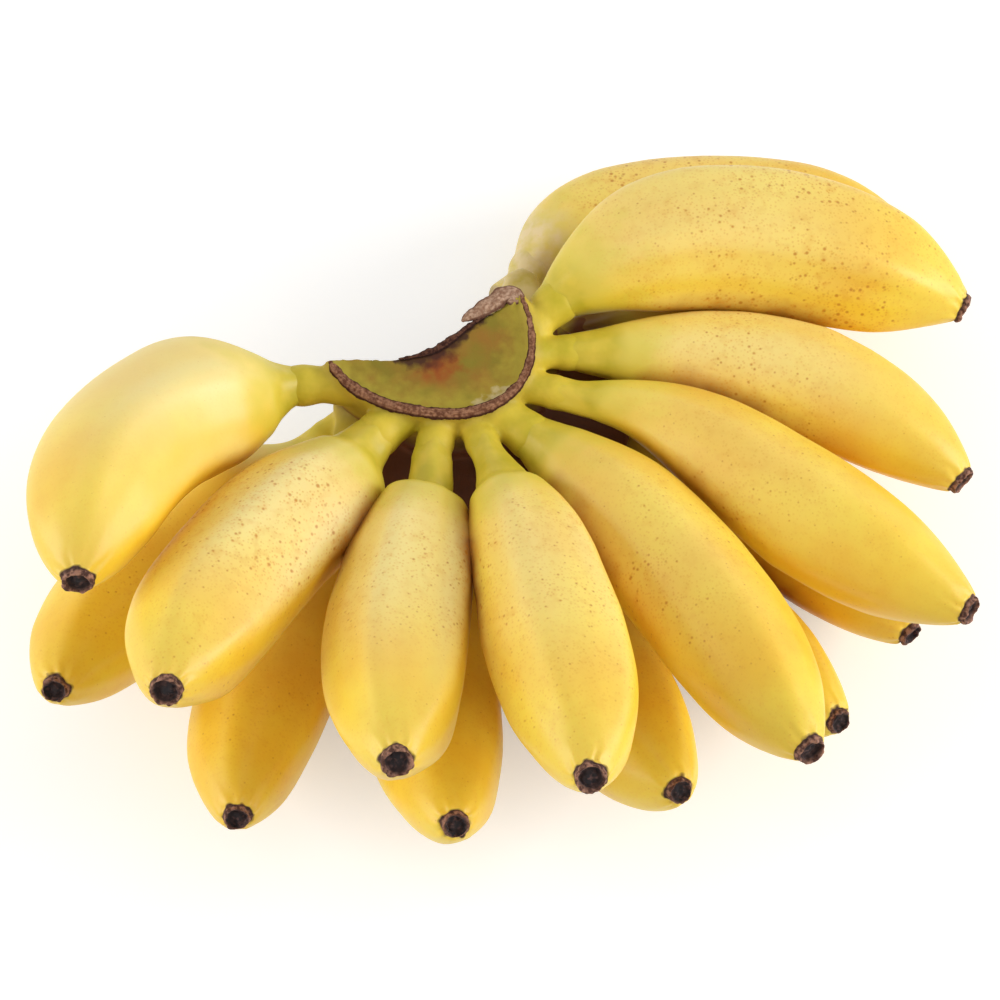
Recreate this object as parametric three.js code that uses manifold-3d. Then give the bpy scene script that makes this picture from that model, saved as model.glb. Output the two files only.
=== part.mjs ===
// A hand of baby bananas, lying on its lower row of fingers.
//
// Two rows of short, thick fingers grow from one cut crown and spread round it like a fan. The
// lower row lies on the table, the upper row lies over it, and all tips turn up and to the front.
// Units are millimetres, +Z is up and the fingertips point towards -Y. The origin is the middle of
// the hand's bounding box, at table height.

import * as THREE from 'three';
import { mergeVertices } from 'three/addons/utils/BufferGeometryUtils.js';
import Module from 'manifold-3d';

const wasm = await Module();
wasm.setup();

const UP = new THREE.Vector3(0, 0, 1);

// ---- Driving dimensions ----

const UPPER_ROW_HEIGHT = 43;      // stalk roots of the upper row above the table
const LOWER_ROW_HEIGHT = 23.5;    // stalk roots of the lower row above the table
const JOINT_GAP = 0.3;            // clearance between a finger and its stalk root
const PRESS = 0.8;                // how far a lower finger is pressed flat where it rests

const SIDES = 20;                 // facets round a finger
const RIDGES = 5;                 // a banana is softly five-sided
const RIDGE_DEPTH = 0.012;        // ridge height as a share of the radius
const SHOULDER_POWER = 1.5;       // how late the stalk swells into the body
const LEAN_SCALE = 27 / 4;        // makes a finger's lean its largest offset
const TAPER_SHARE = 0.376;        // share of the length that narrows to the blossom end
const TAPER_POWER = 2.33;         // how long the body stays full before it narrows
const TAPER_ROUNDING = 0.91;      // how blunt its end is
const SHOULDER_STATIONS = [0.16, 0.32, 0.5, 0.7, 1];
const TAPER_STATIONS = [0, 0.25, 0.45, 0.63, 0.78, 0.9, 0.965];
const LONG_BELLY = 5;             // a belly longer than this gets a section of its own
const BLOSSOM_RADIUS = 3.7;       // dried blossom end
const BLOSSOM_LENGTH = 1.2;
const BLOSSOM_DIMPLE = 0.6;

const ROOT_DEPTH = 6;             // how far a stalk root reaches into the crown
const ROOT_FLARE = 0.3;           // how much wider it is there
const CROWN_TOP = 48.5;           // height of the bark rim
const CROWN_WAIST = 36;           // where the upper cushion sits on the lower one
const CROWN_BOTTOM = 17;
const CROWN_EDGE = 1.6;           // rounding of the cushions' edges
const CROWN_STEPS = 36;           // straight steps round a cushion
const RIM_WIDTH = 2.2;            // bark rim round the cut face
const FACE_DEPTH = 1.0;           // how far the cut flesh has sunk below the rim
const FACE_OPENING = [-3, 4];     // the rim is missing on the side the stem was on

// Each finger in plain values. root: where its stalk leaves the crown, in plan. heading and slope:
// degrees, at the stalk, in the middle and at the tip, as a compass bearing from +X and as a climb
// from level. reach: length of the route's three legs together. girth and stalk: thickness of body
// and stalk. neck: length of the even stalk. shoulder: length over which it swells to the body.
// lean: how far the shoulder bulges to the right of the stalk, seen from the crown. cut: where on
// its stalk the finger ends and the crown's stalk root begins.
const UPPER_ROW = [
  { root: [-38, 22], heading: [181, 242, 272], slope: [2, 40, 22], reach: 105,
    girth: 31.5, stalk: 7.9, neck: 6, shoulder: 28, lean: -1.2, cut: 5 },
  { root: [-23, 14], heading: [227, 234.5, 266], slope: [5, 24, 46], reach: 101,
    girth: 30, stalk: 9.7, neck: 6, shoulder: 34.5, lean: -0.7, cut: 5 },
  { root: [-13, 13], heading: [258, 264.5, 278], slope: [9.5, 18, 50], reach: 102,
    girth: 29.5, stalk: 8, neck: 8, shoulder: 41.5, lean: -1.5, cut: 5 },
  { root: [-5.5, 12], heading: [291, 284.5, 276], slope: [25, 6.5, 44], reach: 106,
    girth: 29.5, stalk: 7.1, neck: 10.5, shoulder: 48.5, lean: -1.5, cut: 5 },
  { root: [2.5, 13], heading: [326, 296, 298], slope: [0.5, 11.5, 26], reach: 106,
    girth: 28.5, stalk: 9.2, neck: 2.5, shoulder: 41, lean: 0.5, cut: 5 },
  { root: [7, 21.5], heading: [346.5, 318, 326], slope: [2.5, -9, 14], reach: 109,
    girth: 27.5, stalk: 7.3, neck: 10.5, shoulder: 54, lean: -3.3, cut: 5 },
  { root: [10, 29.5], heading: [17.5, 339.5, 315], slope: [-12.5, -0.5, 2], reach: 105,
    girth: 25.5, stalk: 6.9, neck: 1.5, shoulder: 57, lean: 2.1, cut: 5 },
  { root: [9, 38], heading: [51, 350.5, 334], slope: [2.5, -12, -4], reach: 113,
    girth: 32, stalk: 7.8, neck: 1.5, shoulder: 37.5, lean: 0.4, cut: 5 },
];

const LOWER_ROW = [
  { root: [-32.5, 22.5], heading: [209, 225, 259], slope: [-26, 12, 46], reach: 114,
    girth: 30, stalk: 8, neck: 15, shoulder: 22, lean: 0, cut: 8 },
  { root: [-19.5, 17], heading: [230, 246, 274], slope: [-26, 8, 42], reach: 115,
    girth: 29.5, stalk: 8.4, neck: 16, shoulder: 44, lean: 0, cut: 13 },
  { root: [-11, 19], heading: [260, 272, 286], slope: [-28, 14, 54], reach: 119,
    girth: 29.5, stalk: 8.4, neck: 14, shoulder: 41, lean: 0, cut: 13 },
  { root: [-1, 21], heading: [286, 292, 304], slope: [-28, 14, 46], reach: 115,
    girth: 31.5, stalk: 8.4, neck: 16, shoulder: 45, lean: 0, cut: 13 },
  { root: [5, 24.5], heading: [311, 312, 314], slope: [-26, 2, 34], reach: 110,
    girth: 29, stalk: 8.4, neck: 20, shoulder: 56, lean: 0, cut: 13 },
  { root: [11, 32.5], heading: [346, 314, 312], slope: [-20, -2, 12], reach: 105,
    girth: 27, stalk: 8.4, neck: 12, shoulder: 34, lean: 0, cut: 11 },
  { root: [7, 39], heading: [28, 344, 302], slope: [-16, -6, 4], reach: 106,
    girth: 26, stalk: 8.4, neck: 14, shoulder: 38, lean: 0, cut: 11 },
  { root: [5, 54.5], heading: [54, 357, 340], slope: [-14, -4, 4], reach: 109,
    girth: 28, stalk: 8.5, neck: 2.5, shoulder: 28.5, lean: -2.6, cut: 5 },
];

// Crown cushions in plan, each a crescent round the place where the plant's stem was.
const UPPER_CUSHION = {
  outside: [[-38, 25.5], [-34.5, 19.5], [-28.5, 15.5], [-21.5, 13], [-13, 11.7], [-4, 12.5],
    [2.5, 16], [7, 22], [8.5, 30], [7.5, 37], [4.5, 43]],
  inside: [[0, 38.5], [-6.5, 34.5], [-10, 31.5], [-14, 28.5], [-21, 26.5], [-33, 26.5]],
};
const LOWER_CUSHION = {
  outside: [[-37, 28], [-34, 22], [-26, 15], [-19.5, 10.5], [-11, 9], [-1.5, 11],
    [7, 17], [12, 24], [13.5, 32], [12, 42], [7, 53.5]],
  inside: [[2, 53], [-1.5, 45], [-6, 38], [-13, 32], [-24, 29.5], [-33, 30]],
};

// ---- Materials ----

const peel = new THREE.MeshStandardMaterial({ color: 0xf0c94f, roughness: 0.45, metalness: 0 });
const crownFlesh = new THREE.MeshStandardMaterial({ color: 0x9a8f3a, roughness: 0.7, metalness: 0 });

// ---- Solids and booleans ----

function toManifold(geometry) {
  const welded = geometry.clone();
  welded.deleteAttribute('normal');
  welded.deleteAttribute('uv');
  const merged = mergeVertices(welded, 1e-4);
  const index = merged.index.array;
  const triangles = [];
  for (let i = 0; i < index.length; i += 3) {
    const [a, b, c] = [index[i], index[i + 1], index[i + 2]];
    if (a !== b && b !== c && c !== a) triangles.push(a, b, c);
  }
  return new wasm.Manifold(new wasm.Mesh({
    numProp: 3,
    vertProperties: new Float32Array(merged.attributes.position.array),
    triVerts: new Uint32Array(triangles),
  }));
}

function toGeometry(solid) {
  const { vertProperties, triVerts } = solid.getMesh();
  const geometry = new THREE.BufferGeometry();
  geometry.setAttribute('position', new THREE.BufferAttribute(vertProperties, 3));
  geometry.setIndex(new THREE.BufferAttribute(triVerts, 1));
  geometry.computeVertexNormals();
  return geometry;
}

// ---- Fingers ----

function direction(heading, slope) {
  const turn = THREE.MathUtils.degToRad(heading);
  const climb = THREE.MathUtils.degToRad(slope);
  return new THREE.Vector3(
    Math.cos(climb) * Math.cos(turn), Math.cos(climb) * Math.sin(turn), Math.sin(climb));
}

// The route down the middle of a finger: three equal legs, rounded off as a Bezier curve.
function route(finger, height) {
  const points = [new THREE.Vector3(finger.root[0], finger.root[1], height)];
  for (let leg = 0; leg < 3; leg += 1) {
    const step = direction(finger.heading[leg], finger.slope[leg]).multiplyScalar(finger.reach / 3);
    points.push(points[leg].clone().add(step));
  }
  return new THREE.CubicBezierCurve3(...points);
}

// Distances along the route beyond either end carry on straight.
function place(curve, distance) {
  const length = curve.getLength();
  const along = THREE.MathUtils.clamp(distance / length, 0, 1);
  const tangent = curve.getTangentAt(along);
  const centre = curve.getPointAt(along).addScaledVector(tangent, distance - along * length);
  const side = new THREE.Vector3().crossVectors(tangent, UP).normalize();
  const top = new THREE.Vector3().crossVectors(side, tangent);
  return { centre, side, top };
}

function bodyRadius(finger, length, distance) {
  const stalk = finger.stalk / 2;
  const body = finger.girth / 2;
  const swell = THREE.MathUtils.clamp((distance - finger.neck) / finger.shoulder, 0, 1);
  const narrow = THREE.MathUtils.clamp((length - distance) / (TAPER_SHARE * length), 0, 1);
  const shouldered = stalk + (body - stalk) * (1 - (1 - swell) ** 2) ** SHOULDER_POWER;
  const tapered = (1 - (1 - narrow) ** TAPER_POWER) ** TAPER_ROUNDING;
  return BLOSSOM_RADIUS + (shouldered - BLOSSOM_RADIUS) * tapered;
}

// A body does not swell evenly round its stalk: its middle is a little off the route there.
function leanAt(finger, distance) {
  const swell = THREE.MathUtils.clamp((distance - finger.neck) / finger.shoulder, 0, 1);
  return finger.lean * LEAN_SCALE * swell * (1 - swell) ** 2;
}

// Turns a lathed profile of [radius, distance] points into a bent, softly five-sided body, with a
// ridge along its top and a facet, not an edge, along its underside.
function sweep(finger, curve, profile) {
  const outline = profile.map(([radius, distance]) => new THREE.Vector2(radius, distance));
  const geometry = new THREE.LatheGeometry(outline, SIDES, Math.PI / SIDES);
  const position = geometry.attributes.position;
  for (let i = 0; i < position.count; i += 1) {
    const [x, distance, z] = [position.getX(i), position.getY(i), position.getZ(i)];
    const angle = Math.atan2(x, z);
    const radius = Math.hypot(x, z) * (1 + RIDGE_DEPTH * Math.cos(RIDGES * angle));
    const { centre, side, top } = place(curve, distance);
    centre.addScaledVector(side, radius * Math.sin(angle) + leanAt(finger, distance));
    centre.addScaledVector(top, radius * Math.cos(angle));
    position.setXYZ(i, centre.x, centre.y, centre.z);
  }
  return geometry;
}

// Distances along the finger at which its girth is set, closest where it changes fastest.
function bodyStations(finger, length) {
  const shoulderEnd = finger.neck + finger.shoulder;
  const taperStart = Math.max((1 - TAPER_SHARE) * length, shoulderEnd);
  const neckEnd = Math.max(finger.neck, finger.cut + 1);
  return [
    finger.cut,
    (finger.cut + neckEnd) / 2,
    neckEnd,
    ...SHOULDER_STATIONS.map((share) => neckEnd + share * (shoulderEnd - neckEnd)),
    ...(taperStart - shoulderEnd > LONG_BELLY ? [(shoulderEnd + taperStart) / 2] : []),
    ...TAPER_STATIONS.filter((share) => share > 0 || taperStart > shoulderEnd)
      .map((share) => taperStart + share * (length - taperStart)),
  ];
}

function fingerGeometry(finger, curve) {
  const length = curve.getLength();
  const tip = length + BLOSSOM_LENGTH;
  return sweep(finger, curve, [
    [0, finger.cut],
    ...bodyStations(finger, length).map((distance) => [bodyRadius(finger, length, distance), distance]),
    [BLOSSOM_RADIUS, length],
    [BLOSSOM_RADIUS, tip],
    [0, tip - BLOSSOM_DIMPLE],
  ]);
}

function lowestPoint(geometry) {
  geometry.computeBoundingBox();
  return geometry.boundingBox.min.z;
}

// The fruit gives a little where its weight rests, so it is flat there.
function pressOnTable(geometry) {
  const position = geometry.attributes.position;
  for (let i = 0; i < position.count; i += 1) position.setZ(i, Math.max(position.getZ(i), 0));
}

function makeFinger(finger, rowHeight, rests) {
  let curve = route(finger, rowHeight);
  let geometry = fingerGeometry(finger, curve);
  if (rests) {
    curve = route(finger, rowHeight - lowestPoint(geometry) - PRESS);
    geometry = fingerGeometry(finger, curve);
    pressOnTable(geometry);
  }
  return { finger, curve, solid: toManifold(geometry) };
}

// ---- Crown ----

// The root of a stalk flares where it grows out of the crown.
function stalkRoot({ finger, curve }) {
  const end = finger.cut - JOINT_GAP;
  const stations = [-ROOT_DEPTH, 0, finger.cut / 2, end];
  const body = curve.getLength();
  return toManifold(sweep(finger, curve, [
    [0, -ROOT_DEPTH],
    ...stations.map((distance) => {
      const flare = 1 + ROOT_FLARE * ((end - distance) / (end + ROOT_DEPTH)) ** 2;
      return [flare * bodyRadius(finger, body, distance), distance];
    }),
    [0, end],
  ]));
}

function crescent({ outside, inside }, shrink) {
  const outline = new THREE.CatmullRomCurve3(
    [...outside, ...inside].map(([x, y]) => new THREE.Vector3(x, y, 0)), true, 'centripetal');
  const shape = new THREE.Shape();
  for (let i = 0; i < CROWN_STEPS; i += 1) {
    const point = outline.getPointAt(i / CROWN_STEPS);
    const tangent = outline.getTangentAt(i / CROWN_STEPS);
    const x = point.x - shrink * tangent.y;
    const y = point.y + shrink * tangent.x;
    if (i === 0) shape.moveTo(x, y);
    else shape.lineTo(x, y);
  }
  shape.closePath();
  return shape;
}

function cushion(plan, bottom, top) {
  const geometry = new THREE.ExtrudeGeometry(crescent(plan, CROWN_EDGE), {
    depth: top - bottom - 2 * CROWN_EDGE,
    steps: 2,
    bevelThickness: CROWN_EDGE,
    bevelSize: CROWN_EDGE,
    bevelSegments: 2,
  });
  geometry.translate(0, 0, bottom + CROWN_EDGE);
  return toManifold(geometry);
}

function cutFace() {
  const geometry = new THREE.ExtrudeGeometry(crescent(UPPER_CUSHION, RIM_WIDTH), {
    depth: 2 * FACE_DEPTH,
    bevelEnabled: false,
  });
  geometry.translate(0, 0, CROWN_TOP - FACE_DEPTH);
  const face = toManifold(geometry);
  return face.add(face.translate([...FACE_OPENING, 0]));
}

function makeCrown(fingers) {
  let crown = cushion(UPPER_CUSHION, CROWN_WAIST - 2 * CROWN_EDGE, CROWN_TOP);
  crown = crown.add(cushion(LOWER_CUSHION, CROWN_BOTTOM, CROWN_WAIST));
  for (const finger of fingers) crown = crown.add(stalkRoot(finger));
  return crown.subtract(cutFace());
}

// ---- Assembly ----

function addPiece(group, name, solid, material) {
  const mesh = new THREE.Mesh(toGeometry(solid), material);
  mesh.name = name;
  group.add(mesh);
}

const hand = new THREE.Group();
const upper = UPPER_ROW.map((finger) => makeFinger(finger, UPPER_ROW_HEIGHT, false));
const lower = LOWER_ROW.map((finger) => makeFinger(finger, LOWER_ROW_HEIGHT, true));
addPiece(hand, 'crown', makeCrown([...upper, ...lower]), crownFlesh);
upper.forEach(({ solid }, i) => addPiece(hand, `upper_finger_${i + 1}`, solid, peel));
lower.forEach(({ solid }, i) => addPiece(hand, `lower_finger_${i + 1}`, solid, peel));

const middle = new THREE.Box3().setFromObject(hand).getCenter(new THREE.Vector3());
hand.position.set(-middle.x, -middle.y, 0);

export default hand;
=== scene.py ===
# %% [markdown]
# # A hand of baby bananas
#
# A banana plant bears its fruit in tiers that growers call hands. This is one hand, cut off the
# stem: two rows of short, thick fingers fused to one crown. It lies on its lower row.
#
# The solid model that fixes every size is loaded first and never changed. Each of its solids is
# only a coarse stand-in, so the cells below build a finer piece over each one, give it the skin
# of the real fruit, and end with the light and the camera.

# %% Load the solid model
import math

import bmesh
import bpy
import numpy as np
from mathutils import Matrix, Vector, noise
from mathutils.bvhtree import BVHTree


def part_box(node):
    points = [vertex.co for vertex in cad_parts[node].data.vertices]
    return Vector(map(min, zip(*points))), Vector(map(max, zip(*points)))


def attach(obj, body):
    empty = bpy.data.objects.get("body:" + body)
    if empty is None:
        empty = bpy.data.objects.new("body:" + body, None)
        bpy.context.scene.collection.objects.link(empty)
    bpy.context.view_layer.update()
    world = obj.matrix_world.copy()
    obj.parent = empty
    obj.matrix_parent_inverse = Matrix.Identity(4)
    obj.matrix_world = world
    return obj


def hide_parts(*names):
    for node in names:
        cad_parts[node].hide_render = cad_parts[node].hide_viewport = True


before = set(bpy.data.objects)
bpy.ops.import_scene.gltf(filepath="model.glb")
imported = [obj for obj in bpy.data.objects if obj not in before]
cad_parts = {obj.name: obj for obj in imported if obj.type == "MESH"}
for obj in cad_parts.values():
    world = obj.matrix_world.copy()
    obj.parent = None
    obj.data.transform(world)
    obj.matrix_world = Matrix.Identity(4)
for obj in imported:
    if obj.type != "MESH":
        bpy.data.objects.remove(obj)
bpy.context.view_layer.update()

MM = 0.001
UP = Vector((0, 0, 1))
FINGERS = {name: node for name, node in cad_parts.items() if "finger" in name}
crown_low, crown_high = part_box("crown")
crown_middle = (crown_low + crown_high) / 2
print(f"{len(FINGERS)} fingers round a crown {(crown_high - crown_low).x / MM:.0f} mm wide")

# %% [markdown]
# ## The cage of a finger
#
# A banana is a bent tube whose thickness changes slowly, which is just what a subdivision surface
# is good at: a coarse cage of rings, smoothed by Catmull-Clark. The CAD solid already has such
# rings, cut into triangles. So a copy of it is welded, its rings are found by walking from pole to
# pole, and the diagonals between them are dissolved. That leaves a clean cage of quads with no
# fitting at all.

# %% Walk the rings of a finger
WELD = 1e-6
SIDES = 20                      # vertices in a ring of the CAD solid
STEP = 2 * math.pi / SIDES


def walk_rings(bm, pole):
    """The rings of vertices none, one, two, three ... edges away from a pole."""
    bm.verts.index_update()
    rings, seen = [[pole]], {pole}
    while rings[-1]:
        found = {edge.other_vert(vert) for vert in rings[-1] for edge in vert.link_edges} - seen
        seen |= found
        rings.append(sorted(found, key=lambda vert: vert.index))
    return rings[:-1]


def middle_of(ring):
    return sum((vert.co for vert in ring), Vector()) / len(ring)


# %% Copy a CAD finger as rings of quads
def open_cage(node):
    """A cage without its end caps, and its rings, middles and headings from stalk to blossom end."""
    bm = bmesh.new()
    bm.from_mesh(node.data)
    around = bm.verts.layers.float_vector.new("around")
    along = bm.verts.layers.float.new("along_mm")
    bm.verts.layers.float.new("inward")
    bmesh.ops.remove_doubles(bm, verts=bm.verts, dist=WELD)
    poles = sorted(bm.verts, key=lambda vert: -len(vert.link_edges))[:2]
    poles.sort(key=lambda vert: (vert.co - crown_middle).length)
    rings = walk_rings(bm, poles[0])
    middles = [middle_of(ring) for ring in rings]
    headings = [(middles[k + 1] - middles[k - 1]).normalized() for k in range(1, len(rings) - 1)]
    place = {}
    distance = 0.0
    for k, ring in enumerate(rings[1:-1], start=1):
        side = headings[k - 1].cross(UP).normalized()
        top = side.cross(headings[k - 1])
        distance += (middles[k] - middles[k - 1]).length / MM if k > 1 else 0
        for vert in ring:
            spoke = vert.co - middles[k]
            column = round(math.atan2(spoke.dot(side), spoke.dot(top)) / STEP - 0.5)
            place[vert] = (k, column % SIDES)
            vert[around] = (math.cos((column + 0.5) * STEP), math.sin((column + 0.5) * STEP), 0)
            vert[along] = distance
    diagonals = [edge for edge in bm.edges if all(vert in place for vert in edge.verts)
                 and all(a != b for a, b in zip(*(place[vert] for vert in edge.verts)))]
    bmesh.ops.dissolve_edges(bm, edges=diagonals)
    bmesh.ops.delete(bm, geom=[poles[0], poles[1], *rings[-2]], context="VERTS")
    return bm, rings[1:-2], middles[1:-2], headings[:-1]


# %% [markdown]
# ## Closing both ends
#
# At one end the fruit runs on into its stalk, inside the crown. At the other it carries what is
# left of the flower: a short collar of dried, torn scales round a black, lumpy middle. Both are
# made by extruding the open ring again and again, each time moving and shrinking the new ring,
# as one would pull a neck out of clay. A last ring is merged into one point.

# %% Extrude a ring through a list of steps
def pull_ring(bm, ring, middle, heading, steps):
    """Extrudes an open ring to each (share of its radius, distance in mm) and closes the last one."""
    along = bm.verts.layers.float["along_mm"]
    inward = bm.verts.layers.float["inward"]
    rim = set(ring)
    edges = [edge for edge in bm.edges if edge.is_boundary and rim.issuperset(edge.verts)]
    start = ring[0][along]
    share_now, depth_now = 1.0, 0.0
    for share, depth in steps:
        made = bmesh.ops.extrude_edge_only(bm, edges=edges)["geom"]
        fresh = [item for item in made if isinstance(item, bmesh.types.BMVert)]
        centre = middle + heading * depth_now * MM
        for vert in fresh:
            spoke = vert.co - centre
            vert.co = centre + spoke * (share / share_now) + heading * (depth - depth_now) * MM
            vert[along] = start + depth
            vert[inward] = 1 - share
        edges = [item for item in made if isinstance(item, bmesh.types.BMEdge)
                 and set(fresh).issuperset(item.verts)]
        share_now, depth_now = share, depth
    bmesh.ops.pointmerge(bm, verts=fresh, merge_co=middle + heading * depth_now * MM)


# %% Grow the cage of one finger
SMOOTHING_LOSS = 1 - (2 + math.cos(STEP)) / 3      # how far Catmull-Clark pulls a ring inwards
ROOT_STEPS = [(0.94, -1.2), (0.8, -2.4), (0.4, -2.8)]
BLOSSOM_STEPS = [(0.9, 0.3), (0.88, 0.8), (0.85, 1.3), (0.79, 1.7), (0.71, 1.6), (0.63, 0.9),
                 (0.52, 0.5), (0.36, 0.75), (0.18, 0.95)]
LOWER_BLOSSOM = 0.85            # the lower row's dried flowers are smaller


def finger_cage(node):
    bm, rings, middles, headings = open_cage(node)
    reach = rings[-1][0][bm.verts.layers.float["along_mm"]]
    for ring, middle in zip(rings, middles):
        for vert in ring:
            vert.co = middle + (vert.co - middle) / (1 - SMOOTHING_LOSS)
            vert.co.z = max(vert.co.z, 0)
    pull_ring(bm, rings[0], middles[0], headings[0], ROOT_STEPS)
    size = LOWER_BLOSSOM if node.name.startswith("lower") else 1.0
    steps = [(size * share, depth) for share, depth in BLOSSOM_STEPS]
    pull_ring(bm, rings[-1], middles[-1], headings[-1], steps)
    bmesh.ops.recalc_face_normals(bm, faces=bm.faces)
    radii = [(ring[0][bm.verts.layers.float["along_mm"]], middle_radius(ring)) for ring in rings]
    return bm, reach, radii, (middles[0], headings[0], radii[0][1])


def middle_radius(ring):
    centre = middle_of(ring)
    return sum((vert.co - centre).length for vert in ring) / len(ring) / MM


# %% [markdown]
# ## From cage to fruit
#
# Catmull-Clark gives a smooth, rather perfect tube. Real fruit has flats and soft ridges where it
# was packed against its neighbours, a crease where the green stalk ends, small dents, and a torn
# blossom end. So the subdivision is applied, and every vertex is then moved along its normal by
# the sum of a few simple shapes, much as a sculpting brush would do it.

# %% Smooth a cage into a mesh object
def smooth_piece(bm, name, levels):
    """Makes an object of the cage, with Catmull-Clark subdivision applied."""
    mesh = bpy.data.meshes.new(name)
    bm.to_mesh(mesh)
    bm.free()
    piece = bpy.data.objects.new(name, mesh)
    bpy.context.scene.collection.objects.link(piece)
    if levels:
        subdivision = piece.modifiers.new("Subdivision", "SUBSURF")
        subdivision.levels = subdivision.render_levels = levels
        apply_modifiers(piece)
    piece.data.shade_smooth()
    return piece


def apply_modifiers(piece):
    depsgraph = bpy.context.evaluated_depsgraph_get()
    made = bpy.data.meshes.new_from_object(
        piece.evaluated_get(depsgraph), preserve_all_data_layers=True, depsgraph=depsgraph)
    made.name = piece.name
    piece.modifiers.clear()
    piece.data = made


# %% Read and write a mesh as arrays
def points_of(mesh):
    flat = np.empty(len(mesh.vertices) * 3, np.float32)
    mesh.vertices.foreach_get("co", flat)
    return flat.reshape(-1, 3).astype(float)


def normals_of(mesh):
    flat = np.empty(len(mesh.vertices) * 3, np.float32)
    mesh.vertex_normals.foreach_get("vector", flat)
    return flat.reshape(-1, 3).astype(float)


def read(mesh, name, width=1):
    flat = np.empty(len(mesh.vertices) * width, np.float32)
    mesh.attributes[name].data.foreach_get("value" if width == 1 else "vector", flat)
    return flat.astype(float) if width == 1 else flat.reshape(-1, width).astype(float)


def write(mesh, name, values):
    """Stores one number for each vertex, for the materials to read."""
    layer = mesh.attributes.get(name) or mesh.attributes.new(name, "FLOAT", "POINT")
    layer.data.foreach_set("value", np.asarray(values, np.float32))


def move(mesh, points):
    mesh.vertices.foreach_set("co", np.asarray(points, np.float32).ravel())
    mesh.update()


def wander(points, size_mm, seed=0.0):
    """Smooth noise from -1 to 1 whose lumps are about size_mm across."""
    shift = Vector((seed, 1.7 * seed, -2.3 * seed))
    return np.array([noise.noise(Vector(p) / (size_mm * MM) + shift) for p in points])


def ramp(values, start, end):
    """0 before start, 1 after end, and a smooth step between them."""
    t = np.clip((np.asarray(values, float) - start) / (end - start), 0, 1)
    return t * t * (3 - 2 * t)


# %% [markdown]
# Each finger has its own habit:
#
# - `ridge` is how far its corners stand proud in mm, and `turn` how far they are turned round it in
#   degrees: at 0 a corner runs along the top, at 36 a flat does.
# - `fold` is where its stalk ends, in mm from the crown, `pinch` how sharply, and `flare` over how
#   many mm the stalk widens before it.
# - `bulge` is how far the body swells out just past the fold in mm, most of all in the direction
#   `toward`, in degrees from the top.
# - `freckles` is how thickly the sugar spots lie, and `spotted` where they are thickest, as a share
#   of the length.
# - The last key is how much cream is painted, as a painted sheen, on the side that looks up.

# %% The habit of each finger
HABITS = {
    "upper_finger_1": dict(turn=-8, ridge=0.9, fold=6.5, pinch=0.1, flare=4, bulge=1.2, toward=-90,
                           freckles=0.2, spotted=0.9, painted_sheen=0.85),
    "upper_finger_2": dict(turn=12, ridge=1.0, fold=8, pinch=0.3, flare=3, bulge=2.0, toward=-90,
                           freckles=1.0, spotted=0.4, painted_sheen=0.85),
    "upper_finger_3": dict(turn=16, ridge=1.1, fold=13.5, pinch=0.8, flare=0, bulge=1.8, toward=60,
                           freckles=0.75, spotted=0.4, painted_sheen=0.8),
    "upper_finger_4": dict(turn=14, ridge=0.8, fold=14.5, pinch=0.5, flare=8, bulge=2.6, toward=80,
                           freckles=0.8, spotted=0.5, painted_sheen=0.6),
    "upper_finger_5": dict(turn=-15, ridge=0.7, fold=6, pinch=0.1, flare=5, bulge=0.5, toward=-60,
                           freckles=0.65, spotted=0.5, painted_sheen=0.3),
    "upper_finger_6": dict(turn=-10, ridge=0.6, fold=9, pinch=0.1, flare=5, bulge=0.3, toward=0,
                           freckles=0.5, spotted=0.5, painted_sheen=0.3),
    "upper_finger_7": dict(turn=10, ridge=0.5, fold=9, pinch=0.1, flare=5, bulge=0.3, toward=0,
                           freckles=0.65, spotted=0.45, painted_sheen=0.6),
    "upper_finger_8": dict(turn=21, ridge=1.6, fold=4, pinch=0.0, flare=3, bulge=0.3, toward=0,
                           freckles=1.0, spotted=0.6, painted_sheen=0.5),
}
LOWER_HABIT = dict(turn=15, ridge=0.6, fold=6, pinch=0.0, flare=3, bulge=0.3, toward=0,
                   freckles=0.5, spotted=0.7, painted_sheen=0.15)
HABITS["lower_finger_8"] = dict(LOWER_HABIT, turn=25, ridge=1.1, painted_sheen=0.4, bulge=0.5,
                                freckles=1.0, spotted=0.4)
RIDGES = 5                      # a banana grows with five corners
PUCKERS = 9                     # round the blossom end
SPOTTED_SPREAD = 0.28           # how far freckles reach from their thickest place, of the length


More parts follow.
